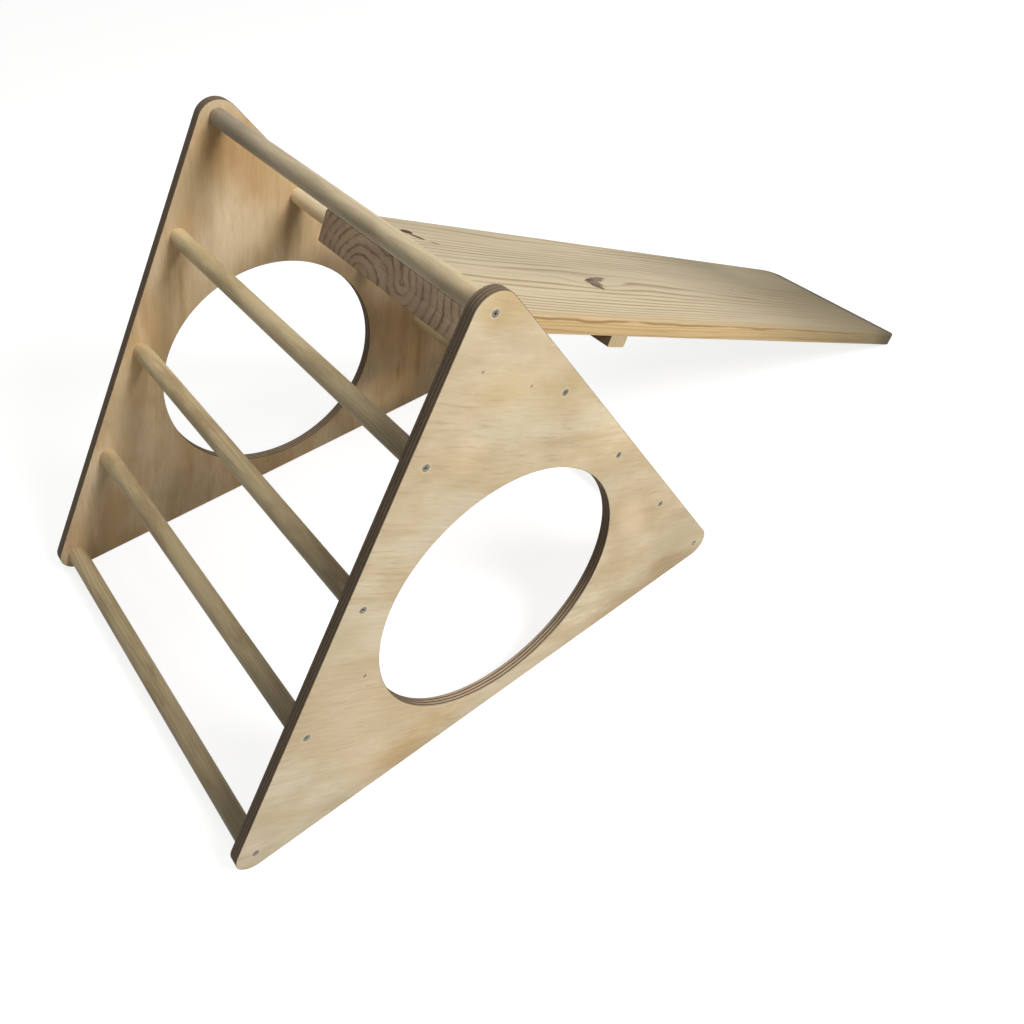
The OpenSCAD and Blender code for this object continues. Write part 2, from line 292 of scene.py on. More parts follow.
class StageSettings(PropertyGroup):
    """Floor, lights and camera."""
    lens: number("Lens", 32.567, "Focal length in millimetres", "CAMERA")
    shift_x: number("Shift across", -0.0074, "Sideways shift of the lens")
    shift_y: number("Shift up", -0.0991, "Upward shift of the lens")
    camera_at: FloatVectorProperty(name="Camera place", description="Where the camera stands",
                                   default=(-0.858527, -0.955932, 1.217337), unit="LENGTH")
    camera_turn: FloatVectorProperty(
        name="Camera turn", description="How the camera is turned", subtype="EULER",
        default=[math.radians(turn) for turn in (49.4671, 0.3686, -39.3358)])
    key_power: number("Key light", 172.0, "Power of the soft light in front", "POWER")
    top_power: number("Top light", 9.0, "Power of the soft light above", "POWER")
    light: colour("Light", (1.0, 0.99, 0.98), "Colour of both lights")
    sky: number("Sky", 0.20, "Strength of the light from all round")
    seen_sky: number("Seen sky", 0.91, "Brightness of the sky as it is seen")
    floor: colour("Floor", (0.40, 0.40, 0.39), "Colour of the floor")
    floor_glow: number("Floor glow", 0.83, "Brightness added to the floor as it is seen")
    floor_reach: length("Floor reach", 14.0, "Half the floor's width")
    floor_drop: length("Floor drop", 0.0004, "How far the floor lies below the feet")


class ToddlerSlide(PropertyGroup):
    """Everything that a user may change."""
    panel: PointerProperty(type=PanelSizes)
    rung: PointerProperty(type=RungSizes)
    board: PointerProperty(type=BoardSizes)
    screw: PointerProperty(type=ScrewSizes)
    finish: PointerProperty(type=Finishes)
    stage: PointerProperty(type=StageSettings)


# ---- places that the CAD model gives ------------------------------------------------------

def middle(node):
    low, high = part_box(node)
    return (low + high) / 2


def width_of(node):
    """Size across, from the near side to the far side."""
    low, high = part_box(node)
    return high.y - low.y


def rung_radius():
    low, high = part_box("top_rung")
    return (high.x - low.x) / 2


def board_slope(sizes):
    """Angle at which the foot's rounded bottom edge meets the floor."""
    reach = sizes.below - sizes.foot_bottom_radius
    rise = rung_radius() + sizes.rest_gap + sizes.foot_bottom_radius
    drop = middle("back_rung_1").z - sizes.foot_bottom_radius
    return math.asin(drop / math.hypot(reach, rise)) + math.atan2(rise, reach)


def board_matrix(sizes):
    """From the board's own frame, +X down the board and +Z square to it, to the object's."""
    pivot = middle("back_rung_1")
    place = Matrix.Translation((pivot.x, middle("slide_board").y, pivot.z))
    return place @ Matrix.Rotation(board_slope(sizes), 4, "Y")


def check_size(piece, nodes):
    """Stops if a piece reaches outside the CAD nodes that it stands for."""
    corners = [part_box(node) for node in nodes]
    points = [vertex.co for vertex in piece.data.vertices]
    for axis in range(3):
        low = min(corner[0][axis] for corner in corners)
        high = max(corner[1][axis] for corner in corners)
        over = max(low - min(p[axis] for p in points), max(p[axis] for p in points) - high)
        if over > SIZE_SLACK:
            raise RuntimeError(f"{piece.name} reaches {over * 1000:.2f} mm outside its CAD nodes")


# ---- mesh helpers -------------------------------------------------------------------------

def add_object(name, data):
    made = bpy.data.objects.new(name, data)
    bpy.context.scene.collection.objects.link(made)
    return made


def place_piece(mesh, body, nodes, materials, matrix=None):
    """Links a finished mesh as a piece that rides on a body and stands for CAD nodes."""
    if matrix is not None:
        mesh.transform(matrix)
    if not mesh.materials:
        for material in materials:
            mesh.materials.append(material)
    piece = add_object(mesh.name, mesh)
    check_size(piece, nodes)
    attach(piece, body)
    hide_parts(*nodes)


def smooth(mesh, sharp):
    """Smooth shading, but for edges that are sharper than an angle in degrees."""
    for polygon in mesh.polygons:
        polygon.use_smooth = True
    mesh.set_sharp_from_angle(angle=math.radians(sharp))
    return mesh


def mesh_from(bm, name, sharp=SAWN_SHARP):
    bmesh.ops.recalc_face_normals(bm, faces=bm.faces)
    mesh = bpy.data.meshes.new(name)
    bm.to_mesh(mesh)
    bm.free()
    return smooth(mesh, sharp)


def ring(bm, points):
    return [bm.verts.new(point) for point in points]


def skin(bm, rings, material=0):
    """Quads between each closed ring and the next, all of the same count."""
    for first, second in zip(rings, rings[1:]):
        for i in range(len(first)):
            j = (i + 1) % len(first)
            face = bm.faces.new((first[i], first[j], second[j], second[i]))
            face.material_index = material


def cap(bm, rings, material=0):
    """Flat faces inside the first ring and outside the others."""
    flat = [vertex for loop in rings for vertex in loop]
    for triangle in tessellate_polygon([[vertex.co for vertex in loop] for loop in rings]):
        corners = [flat[i] for i in triangle]
        if len(set(corners)) == 3:
            face = bm.faces.new(corners)
            face.material_index = material


def arc(centre, radius, start, end, steps):
    turns = [start + (end - start) * i / steps for i in range(steps + 1)]
    return [(centre[0] + radius * math.cos(t), centre[1] + radius * math.sin(t)) for t in turns]


def circle(centre, radius, steps):
    return arc(centre, radius, 0.0, math.tau, steps)[:-1]


def rounding(radius):
    """How far in and how deep each ring of a rounded edge lies, from the flat face outward."""
    turns = [math.pi / 2 * i / ARRIS_STEPS for i in range(ARRIS_STEPS + 1)]
    return [(radius * (1 - math.sin(t)), radius * (1 - math.cos(t))) for t in turns]


def both_ends(radius, whole):
    """The rings of a rounded edge at one face, and those at the other, a distance away."""
    first = rounding(radius)
    return first + [(inset, whole - depth) for inset, depth in reversed(first)]


# ---- side panels --------------------------------------------------------------------------

def panel_outline(sizes, inset):
    """The rounded triangle, drawn in by a distance, with the same count of points each time."""
    half = sizes.base / 2
    foot = math.atan2(sizes.height, half)
    lift = sizes.foot_radius
    reach = lift / math.tan(foot / 2)
    apex = sizes.height - sizes.apex_radius / math.cos(foot)
    quarter = math.pi / 2
    return (arc((half - reach, lift), lift - inset, -quarter, quarter - foot, FOOT_STEPS)
            + arc((0.0, apex), sizes.apex_radius - inset, quarter - foot, quarter + foot, APEX_STEPS)
            + arc((reach - half, lift), lift - inset, quarter + foot, 3 * quarter, FOOT_STEPS))


def panel_mesh(node, sizes, screws):
    """A plywood panel with sanded edges, its crawl hole, and a seat for each screw."""
    low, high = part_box(node)
    thick = high.y - low.y
    outward = math.copysign(1.0, low.y + high.y)
    outer = high.y if outward > 0 else low.y
    centre = (low.x + high.x) / 2
    bm = bmesh.new()

    def flat_ring(points, depth):
        return ring(bm, [(centre + x, outer - outward * depth, z) for x, z in points])

    edge = both_ends(sizes.arris, thick)
    outline = [flat_ring(panel_outline(sizes, inset), depth) for inset, depth in edge]
    hole = [flat_ring(circle((0.0, sizes.hole_height), sizes.hole_radius + inset, HOLE_SIDES),
                      depth) for inset, depth in edge]
    skin(bm, outline, material=1)
    skin(bm, hole, material=1)
    outside, inside = [outline[0], hole[0]], [outline[-1], hole[-1]]
    for rung in RUNGS:
        at = (middle(rung).x - centre, middle(rung).z)
        wide = screws.head / 2 + sizes.screw_play
        narrow = screws.shank / 2 + sizes.screw_play
        seat = [flat_ring(circle(at, radius, SCREW_SIDES), depth)
                for radius, depth in ((wide, 0.0), (narrow, screws.head_depth), (narrow, thick))]
        skin(bm, seat, material=1)
        outside.append(seat[0])
        inside.append(seat[-1])
    cap(bm, outside)
    cap(bm, inside)
    return mesh_from(bm, "Panel_near" if outward < 0 else "Panel_far")


# ---- slide board and cleats ---------------------------------------------------------------

def corner_inset(radius, past):
    """How far a rounded corner draws the side in, at a distance past the corner's start."""
    past = min(max(past, 0.0), radius)
    return radius - math.sqrt(radius ** 2 - past ** 2)


def section(right, left, bottom, top, upper_radius, lower_radius):
    """A rounded rectangle as points across and up, anticlockwise from the lower right."""
    room = min((top - bottom) / 2, (left - right) / 2) * 0.98
    upper, lower = min(upper_radius, room), min(lower_radius, room)
    quarter = math.pi / 2
    return (arc((left - lower, bottom + lower), lower, -quarter, 0.0, LOWER_STEPS)
            + arc((left - upper, top - upper), upper, 0.0, quarter, UPPER_STEPS)
            + arc((right + upper, top - upper), upper, quarter, 2 * quarter, UPPER_STEPS)
            + arc((right + lower, bottom + lower), lower, 2 * quarter, 3 * quarter, LOWER_STEPS))


def board_stations(sizes):
    """Places down the board, close together where an edge or a corner is rounded."""
    plain_steps, round_steps, least = 40, 14, 0.00005
    start, end = -sizes.above, sizes.below
    plain = [start + (end - sizes.far_corner_radius - start) * i / plain_steps
             for i in range(1, plain_steps)]
    turns = [math.sin(math.pi / 2 * i / round_steps) for i in range(round_steps + 1)]
    rounds = [end - radius + radius * turn for turn in turns
              for radius in (sizes.far_corner_radius, sizes.near_corner_radius,
                             sizes.foot_top_radius)]
    places = plain + sorted(rounds)
    return [place for place, after in zip(places, places[1:]) if after - place > least] + [end]


def board_mesh(sizes, width):
    under = rung_radius() + sizes.rest_gap
    half, start, end = width / 2, -sizes.above, sizes.below
    sawn = [(start + depth, inset) for inset, depth in rounding(sizes.sawn_arris)]
    bm = bmesh.new()
    rings = []
    for along, inset in sawn + [(place, 0.0) for place in board_stations(sizes)]:
        near, far, over, beneath = (corner_inset(radius, along - end + radius) + inset
                                    for radius in (sizes.near_corner_radius,
                                                   sizes.far_corner_radius,
                                                   sizes.foot_top_radius,
                                                   sizes.foot_bottom_radius))
        points = section(near - half, half - far, under + beneath, under + sizes.thick - over,
                         sizes.edge_radius, sizes.arris)
        rings.append(ring(bm, [(along, across, up) for across, up in points]))
    skin(bm, rings[:len(sawn)], material=1)
    skin(bm, rings[len(sawn) - 1:])
    cap(bm, [rings[0]], material=1)
    cap(bm, [rings[-1]])
    return mesh_from(bm, "Slide_board")


def cleat_mesh(name, sizes, width, start, wide, thick, across_grain):
    """A bar under the board. Its section is drawn along the board and swept across it."""
    top = rung_radius() + sizes.rest_gap
    mid = start + wide / 2
    bm = bmesh.new()
    rings = []
    for inset, depth in both_ends(sizes.sawn_arris, width):
        points = section(inset - wide / 2, wide / 2 - inset, top - thick + inset, top - inset,
                         sizes.sawn_arris, sizes.cleat_radius)
        rings.append(ring(bm, [(mid + along, depth - width / 2, up) for along, up in points]))
    skin(bm, rings)
    for end in (rings[0], rings[-1]):
        cap(bm, [end], material=0 if across_grain else 1)
    if across_grain:
        for face in bm.faces:
            face.normal_update()
            if abs(face.normal.x) > END_LEAN:
                face.material_index = 1
    return mesh_from(bm, name)


# ---- screws -------------------------------------------------------------------------------

def cross(bm, span, arm, height):
    """The outline of a cross recess."""
    a, s = arm / 2, span / 2
    points = [(s, -a), (s, a), (a, a), (a, s), (-a, s), (-a, a),
              (-s, a), (-s, -a), (-a, -a), (-a, -s), (a, -s), (a, -a)]
    return ring(bm, [(x, y, height) for x, y in points])


def screw_mesh(name, sizes, long):
    """A countersunk screw, its head at z = 0 and its point toward +Z."""
    bm = bmesh.new()
    head, shank = sizes.head / 2, sizes.shank / 2
    at = sizes.head_depth + PLAIN_SHARE * (long - sizes.head_depth)
    profile = [(head * 0.97, 0.0), (head, 0.00015), (head * 0.99, 0.0004),
               (shank, sizes.head_depth), (shank * 0.96, at)]
    while at + sizes.pitch < long - sizes.point:
        profile += [(shank * size, at + sizes.pitch * part) for size, part in THREAD]
        at += sizes.pitch
    profile += [(shank * 0.8, long - sizes.point), (shank * 0.12, long - 0.0002)]
    rings = [ring(bm, [(x, y, z) for x, y in circle((0, 0), radius, SCREW_SIDES)])
             for radius, z in profile]
    skin(bm, rings)
    cap(bm, [rings[-1]])
    mouth = cross(bm, sizes.recess_span, sizes.recess_arm, 0.0)
    floor = cross(bm, sizes.recess_span * 0.55, sizes.recess_arm * 0.7, sizes.recess_depth)
    skin(bm, [mouth, floor])
    cap(bm, [floor])
    cap(bm, [rings[0], mouth])
    return mesh_from(bm, name, TURNED_SHARP)


# ---- node trees ---------------------------------------------------------------------------

class Value:
    """An output of a node. Plain arithmetic on it adds maths nodes."""

    def __init__(self, nodes, socket):
        self.nodes = nodes
        self.socket = socket

    def work(self, operation, *others):
        return self.nodes.math(operation, self, *others)

    def __rsub__(self, other):
        return self.nodes.math("SUBTRACT", other, self)

    __add__ = partialmethod(work, "ADD")
    __sub__ = partialmethod(work, "SUBTRACT")
    __mul__ = partialmethod(work, "MULTIPLY")
    __truediv__ = partialmethod(work, "DIVIDE")
    __abs__ = partialmethod(work, "ABSOLUTE")


class Nodes:
    """A node tree, with short calls to add its nodes and to join them."""

    def __init__(self, tree):
        self.tree = tree

    def node(self, kind, inputs=None, **settings):
        node = self.tree.nodes.new(kind)
        for name, value in settings.items():
            setattr(node, name, value)
        for key, value in (inputs or {}).items():
            if isinstance(value, Value):
                self.tree.links.new(value.socket, node.inputs[key])
            else:
                node.inputs[key].default_value = value
        return node

    def add(self, kind, inputs=None, output=0, **settings):
        """Adds a node and returns one of its outputs."""
        return Value(self, self.node(kind, inputs, **settings).outputs[output])

    def outputs(self, kind, inputs=None, **settings):
        """Adds a node and returns all its outputs by name."""
        node = self.node(kind, inputs, **settings)
        return {output.name: Value(self, output) for output in node.outputs}

    def math(self, operation, a, b=0.0):
        return self.add("ShaderNodeMath", {0: a, 1: b}, operation=operation)

    def most(self, first, *others):
        for other in others:
            first = self.math("MAXIMUM", first, other)
        return first

    def split(self, vector):
        return self.outputs("ShaderNodeSeparateXYZ", {0: vector}).values()

    def join(self, x=0.0, y=0.0, z=0.0):
        return self.add("ShaderNodeCombineXYZ", {0: x, 1: y, 2: z})

    def stretch(self, vector, factors):
        return self.add("ShaderNodeVectorMath", {0: vector, 1: factors}, operation="MULTIPLY")

    def step(self, value, low, high, start=0.0, end=1.0, kind="SMOOTHSTEP"):
        """From one number to another, while a value goes from low to high."""
        return self.add("ShaderNodeMapRange", {
            "Value": value, "From Min": low, "From Max": high, "To Min": start, "To Max": end},
            interpolation_type=kind)

    def ramp(self, value, low, high, start=0.0, end=1.0):
        return self.step(value, low, high, start, end, "LINEAR")

    def seen(self):
        """1 for rays by which something is seen, and 0 for those that only light it."""
        path = self.outputs("ShaderNodeLightPath")
        return self.most(*(path[f"Is {ray} Ray"] for ray in ("Camera", "Glossy", "Transmission")))


# ---- geometry nodes -----------------------------------------------------------------------

class Tree(Nodes):
    """A geometry node tree with named inputs, each given as its kind and its value."""

    def __init__(self, name, **inputs):
        super().__init__(bpy.data.node_groups.new(name, "GeometryNodeTree"))
        self.socket("Geometry", "Geometry")
        self.settings = {self.socket(key, kind): value for key, (kind, value) in inputs.items()}
        self.given = self.outputs("NodeGroupInput")

    def socket(self, name, kind, in_out="INPUT"):
        return self.tree.interface.new_socket(name, in_out=in_out,
                                              socket_type=f"NodeSocket{kind}").identifier

    def random(self, most):
        """A random turn for each point, of up to these angles."""
        return self.add("FunctionNodeRandomValue", {
            0: (0.0, 0.0, 0.0), 1: most, "Seed": self.given["Seed"]}, data_type="FLOAT_VECTOR")

    def store(self, geometry, name, value, kind, domain):
        return self.add("GeometryNodeStoreNamedAttribute", {
            "Geometry": geometry, "Name": name, "Value": value}, data_type=kind, domain=domain)

    def end(self, geometry):
        """Sets the material and gives the geometry out."""
        geometry = self.add("GeometryNodeSetMaterial", {
            "Geometry": geometry, "Material": self.given["Material"]})
        self.socket("Geometry", "Geometry", "OUTPUT")
        self.node("NodeGroupOutput", {0: geometry})

    def bake(self, name, points):
        """Runs the tree on a cloud of points and returns the result as a plain mesh."""
        cloud = bpy.data.meshes.new(name)
        cloud.from_pydata(points, [], [])
        holder = add_object(name, cloud)
        modifier = holder.modifiers.new(name, "NODES")
        modifier.node_group = self.tree
        for identifier, value in self.settings.items():
            modifier[identifier] = value
        depsgraph = bpy.context.evaluated_depsgraph_get()
        result = bpy.data.meshes.new_from_object(holder.evaluated_get(depsgraph),
                                                 depsgraph=depsgraph)
        holder.modifiers.remove(modifier)
        bpy.data.objects.remove(holder)
        bpy.data.meshes.remove(cloud)
        result.name = name
        return result


def rungs_tree(sizes, radius, long, material):
    """A slightly uneven dowel at each point, with a turn and a tone of its own."""
    tree = Tree("Rungs", Radius=("Float", radius), Length=("Float", long),
                Wobble=("Float", sizes.wobble), Sides=("Int", sizes.sides),
                Stations=("Int", sizes.stations), Seed=("Int", sizes.seed),
                Material=("Material", material))
    given = tree.given
    half = given["Length"] * 0.5
    line = tree.add("GeometryNodeCurvePrimitiveLine", {
        "Start": tree.join(y=half * -1.0), "End": tree.join(y=half)})
    line = tree.add("GeometryNodeResampleCurve", {"Curve": line, "Count": given["Stations"]})
    outline = tree.add("GeometryNodeCurvePrimitiveCircle", {
        "Resolution": given["Sides"], "Radius": given["Radius"]})
    dowel = tree.add("GeometryNodeCurveToMesh", {
        "Curve": line, "Profile Curve": outline, "Fill Caps": True})
    place = tree.add("GeometryNodeInputPosition")
    dowel = tree.store(dowel, "dowel_place", place, "FLOAT_VECTOR", "POINT")
    points = tree.add("GeometryNodeMeshToPoints", {"Mesh": given["Geometry"]})
    rungs = tree.add("GeometryNodeInstanceOnPoints", {
        "Points": points, "Instance": dowel, "Rotation": tree.random((0.0, math.tau, 0.0))})
    tone = tree.add("FunctionNodeRandomValue", {2: 0.0, 3: 1.0, "Seed": given["Seed"]},
                    output=1, data_type="FLOAT")
    rungs = tree.store(rungs, "dowel_tone", tone, "FLOAT", "INSTANCE")
    rungs = tree.add("GeometryNodeRealizeInstances", {"Geometry": rungs})
    uneven = tree.add("ShaderNodeTexNoise", {"Vector": place, "Scale": 14.0, "Detail": 1.0})
    normal = tree.add("GeometryNodeInputNormal")
    push = tree.add("ShaderNodeVectorMath", {
        0: normal, "Scale": uneven * -1.0 * given["Wobble"]}, operation="SCALE")
    tree.end(tree.add("GeometryNodeSetPosition", {
        "Geometry": rungs, "Offset": tree.stretch(push, (1.0, 0.0, 1.0))}))
    return tree


def screws_tree(sizes, template, facing, material):
    """A copy of the screw at each point, turned at random about its own axis."""
    tree = Tree("Screws", Screw=("Object", template), Facing=("Vector", facing),
                Seed=("Int", sizes.seed), Material=("Material", material))
    given = tree.given
    screw = tree.add("GeometryNodeObjectInfo", {"Object": given["Screw"]}, output="Geometry")
    points = tree.add("GeometryNodeMeshToPoints", {"Mesh": given["Geometry"]})
    screws = tree.add("GeometryNodeInstanceOnPoints", {
        "Points": points, "Instance": screw, "Rotation": given["Facing"]})
    screws = tree.add("GeometryNodeRotateInstances", {
        "Instances": screws, "Rotation": tree.random((0.0, 0.0, math.pi / 2)),
        "Local Space": True})
    tree.end(tree.add("GeometryNodeRealizeInstances", {"Geometry": screws}))
    return tree


def bake_screws(sizes, name, kinds, material):
    """One mesh of screws, from groups of places, their facing and their length."""
    bm = bmesh.new()
    for places, facing, long in kinds:
        template = add_object(name, screw_mesh(f"{name}_template", sizes, long))
        part = screws_tree(sizes, template, facing, material).bake(f"{name}_part", places)
        bpy.data.objects.remove(template)
        bm.from_mesh(part)
        bpy.data.meshes.remove(part)
    mesh = bpy.data.meshes.new(name)
    bm.to_mesh(mesh)
    bm.free()
    return smooth(mesh, TURNED_SHARP)


# ---- finishes -----------------------------------------------------------------------------

class Finish(Nodes):
    """A procedural material. Its colour is painted on coat by coat."""

    def __init__(self, name, base=None):
        self.material = bpy.data.materials.new(name)
        self.material.use_nodes = True
        super().__init__(self.material.node_tree)
        self.tree.nodes.clear()
        self.colour = base

    def place(self):
        return self.add("ShaderNodeTexCoord", output="Object")

    def named(self, attribute, output):
        return self.add("ShaderNodeAttribute", output=output, attribute_name=attribute)

    def noise(self, vector, factors=(1.0, 1.0, 1.0), detail=2.0, rough=0.5, distortion=0.0):
        return self.add("ShaderNodeTexNoise", {
            "Vector": self.stretch(vector, factors), "Scale": 1.0, "Detail": detail,
            "Roughness": rough, "Distortion": distortion})

    def spot(self, a, b, at, reach, turn=0.0):
        """1 at a place, and falling off round it over a reach that may be long and turned."""
        a, b = a - at[0], b - at[1]
        if turn:
            c, s = math.cos(turn), math.sin(turn)
            a, b = a * c + b * s, b * c - a * s
        a, b = a / reach[0], b / reach[1]
        return self.math("POWER", math.e, (a * a + b * b) * -1.0)

    def grain(self, rings, start=0.35):
        """0 in early wood and up to 1 in late wood: each ring darkens slowly and ends at once."""
        phase = self.math("FRACT", rings)
        return self.step(phase, start, 0.88) * self.step(phase, 0.93, 1.0, 1.0, 0.0)

    def mix(self, factor, a, b, blend="MIX"):
        a, b = (part if isinstance(part, Value) else (*part, 1.0) for part in (a, b))
        return self.add("ShaderNodeMix", {0: factor, 6: a, 7: b}, output=2, data_type="RGBA",
                        blend_type=blend)

    def coat(self, cover, tint):
        """Another colour over the one so far, where it covers it."""
        self.colour = self.mix(cover, self.colour, tint)

    def shade(self, amount):
        """The colour so far, brighter or darker by a factor."""
        grey = self.add("ShaderNodeCombineColor", {0: amount, 1: amount, 2: amount})
        self.colour = self.mix(1.0, self.colour, grey, blend="MULTIPLY")

    def close(self, rough, height, depth, specular=0.5, metallic=0.0):
        """Joins the colour, the roughness and the bumps to the shader."""
        bump = self.add("ShaderNodeBump", {"Height": height, "Distance": depth, "Strength": 1.0})
        shader = self.add("ShaderNodeBsdfPrincipled", {
            "Base Color": self.colour, "Roughness": rough, "Normal": bump,
            "Specular IOR Level": specular, "Metallic": metallic})
        self.node("ShaderNodeOutputMaterial", {"Surface": shader})
        return self.material


def plywood_face(name, finish, kind, grain, seed, tone_and_lighting_patches, pins=(), redness=0.0, bend=0.0):
    """Rotary-cut softwood veneer: cloudy patches, tan bands and fine broken strokes."""
    pale, warm, dark = (getattr(finish, f"{kind}_{tone}") for tone in ("pale", "warm", "dark"))
    f = Finish(name, pale)
    place = f.place()
    x, _, z = f.split(place)
    turned = f.add("ShaderNodeMapping", {
        "Vector": place, "Rotation": (0.0, grain, 0.0), "Location": (seed * 3.1, 0.0, seed * 1.7)})
    along, _, across = f.split(turned)
    aside = x - middle(PANELS[0]).x
    across = across + aside * aside * bend
    drift = f.noise(f.join(along * 2.6, seed, across * 5.0))
    across = across + (drift - 0.5) * 0.045
    flat = f.join(along, seed, across)
    cloud = f.noise(flat, (3.4, 1.0, 8.0), 4.0, 0.6)
    band = f.noise(flat, (3.6, 1.0, 30.0), 3.0, 0.55)
    where = f.step(f.noise(flat, (2.8, 1.0, 5.0), 1.0), 0.38, 0.60, 0.25, 1.0)
    stroke = f.noise(flat, (17.0, 1.0, 210.0), 2.0, 0.65)
    fleck = f.noise(flat, (45.0, 1.0, 420.0), 1.0)
    fibre = f.noise(flat, (60.0, 1.0, 1100.0), 2.0, 0.6)

    f.coat(f.step(cloud, 0.38, 0.60), warm)
    f.coat(f.step(band, 0.50, 0.70) * 0.60, warm)
    f.coat(f.step(band, 0.58, 0.80) * 0.45, dark)
    f.coat(f.step(stroke, 0.52, 0.72) * where * 0.38, dark)
    f.shade(f.step(stroke, 0.30, 0.44, 1.09, 1.0))
    f.coat(f.step(fleck, 0.70, 0.80) * 0.35, dark)
    if redness:
        red = f.noise(flat, (1.6, 1.0, 19.0), 3.0)
        f.coat(f.step(red, 0.56, 0.70) * redness, finish.far_red)
    f.shade(f.ramp(fibre, 0.2, 0.8, 0.91, 1.07))
    ragged = (cloud - 0.5) * 0.8
    # Each patch tints the colour: some are the veneer's own tone, some are painted light and shade.
    for at, reach, turn, tint in tone_and_lighting_patches:
        patch_tone_and_lighting = f.mix(1.0, f.colour, tint, blend="MULTIPLY")
        f.coat(f.step(f.spot(x, z, at, reach, math.radians(turn)) + ragged, 0.15, 1.0), patch_tone_and_lighting)

    cells = f.outputs("ShaderNodeTexVoronoi", {
        "Vector": f.stretch(flat, (8.0, 9.0, 12.0)), "Scale": 1.0})
    few, _, _ = f.split(cells["Color"])
    pin = f.step(cells["Distance"], 0.016, 0.034, 1.0, 0.0) * f.step(few, 0.84, 0.86)
    for at, size in pins:
        pin = f.most(pin, f.step(f.spot(x, z, at, (size, size)), 0.25, 0.6))
    f.coat(pin * 0.55, finish.pin)
    rim = f.most(*(f.spot(x, z, (at.x, at.z), SCREW_RIM) for at in map(middle, RUNGS)))
    f.coat(f.step(rim, 0.35, 0.60, 0.0, 0.40), pale)
    return f.close(f.step(band, 0.3, 0.8, 0.58, 0.72), stroke * 0.3 + fibre * 0.7, 0.00014, 0.35)


def plywood_edge(finish, sizes):
    """Plies by depth from the outer face, alternately long grain and end grain."""
    f = Finish("Plywood edge", finish.ply_end)
    place = f.place()
    x, y, z = f.split(place)
    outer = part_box(PANELS[1])[1].y
    wander = f.noise(place, (24.0, 24.0, 24.0))
    depth = outer - abs(y) + (wander - 0.5) * 0.0009
    ply = depth / width_of(PANELS[0]) * float(sizes.plies)
    end_ply = f.step(abs(f.math("MODULO", ply, 2.0) - 1.0), 0.48, 0.30)
    pores = f.noise(place, (330.0, 700.0, 330.0), 2.0, 0.7)
    bands = f.noise(place, (28.0, 420.0, 28.0), 3.0, 0.6)
    f.shade(f.ramp(pores, 0.25, 0.75, 0.60, 1.40))
    dark = f.colour

    f.colour = finish.ply_long
    f.shade(f.ramp(bands, 0.25, 0.75, 0.70, 1.15))
    # Painted light and shade: the crawl hole's lower wall lighter, as if lit from above, and the
    # outer edges and the rest of the hole darker, as if in shade.
    x, z = x - middle(PANELS[0]).x, z - sizes.hole_height
    hole = f.step(x * x + z * z, (sizes.hole_radius + 0.002) ** 2,
                  (sizes.hole_radius + 0.006) ** 2, 1.0, 0.0)
    painted_shading = hole * f.step(z, -0.20, -0.08, 1.0, 0.0)
    f.shade(f.ramp(painted_shading, 0.0, 1.0, 0.42, 1.15))
    f.coat(end_ply, dark)
    glue = f.step(abs(f.math("FRACT", ply) - 0.5), 0.44, 0.49)
    f.coat(glue * 0.45, finish.glue)
    return f.close(0.78, pores * 0.6 - end_ply, 0.00018, 0.2)


def dowel_finish(finish):
    """Long grain on a turned rung, different on each, with painted light and shade along the rungs
    and a painted sheen that greys the top rung.
    """
    f = Finish("Rung dowel", finish.dowel_pale)
    tone = f.named("dowel_tone", "Fac")
    x, y, z = f.split(f.named("dowel_place", "Vector"))
    shifted = f.join(x + tone * 3.0, y + tone * 7.0, z)
    drift = f.noise(shifted, (9.0, 2.2, 9.0))
    lines = f.grain(x * f.step(tone, 0.0, 1.0, 170.0, 300.0) + drift * 6.0)
    patch = f.noise(shifted, (30.0, 7.0, 30.0), 3.0, 0.6)
    yellow = f.noise(shifted, (26.0, 9.0, 26.0), distortion=1.0)
    fibre = f.noise(shifted, (500.0, 16.0, 500.0), 2.0, 0.6)
    weight = f.step(f.noise(shifted, (24.0, 4.5, 24.0), 1.0), 0.32, 0.68, 0.08, 0.52)
    f.coat(lines * weight, finish.dowel_dark)
    f.coat(f.step(patch, 0.40, 0.66) * 0.60, finish.dowel_dark)
    f.coat(f.step(yellow, 0.50, 0.66) * 0.45, finish.dowel_yellow)
    f.shade(f.ramp(fibre, 0.2, 0.8, 0.88, 1.08))
    f.shade(f.ramp(tone, 0.0, 1.0, 0.88, 1.12))

    across, aside, height = f.split(f.place())
    # Painted shade and light along each rung: the lower rungs darker toward the near panel and
    # lighter at the far end; the top rung lighter at its near end and darker at its far end.
    lower = f.ramp(aside, -0.25, 0.31, 0.82, 1.28)
    upper = f.ramp(aside, -0.31, 0.31, 1.30, 0.88) * f.step(aside, 0.13, 0.25, 1.0, 0.62)
    top = f.step(height, 0.58, 0.64)
    f.shade(lower + (upper - lower) * top)
    # Painted sheen: grey over the top rung, standing in for the whiter look of its lit top.
    f.coat(top * 0.22, finish.dowel_grey)
    # Painted light on the stub of the board's rung beyond the board, at the far panel.
    painted_lit_stub = f.step(across, -0.33, -0.31) * f.step(height, 0.49, 0.50) * f.step(aside, 0.08, 0.18)
    f.coat(painted_lit_stub * 0.75, finish.dowel_fresh)
    # Painted shade on the near ends of the lower rungs, where the near panel shades them.
    painted_shading = f.step(aside, -0.300, -0.150, 1.0, 0.0) * f.step(height, 0.58, 0.64, 1.0, 0.0)
    f.shade(f.ramp(painted_shading, 0.0, 1.0, 1.0, 0.60))
    return f.close(f.step(patch, 0.3, 0.8, 0.52, 0.66), fibre * 0.6 + lines * 0.4, 0.0002, 0.4)


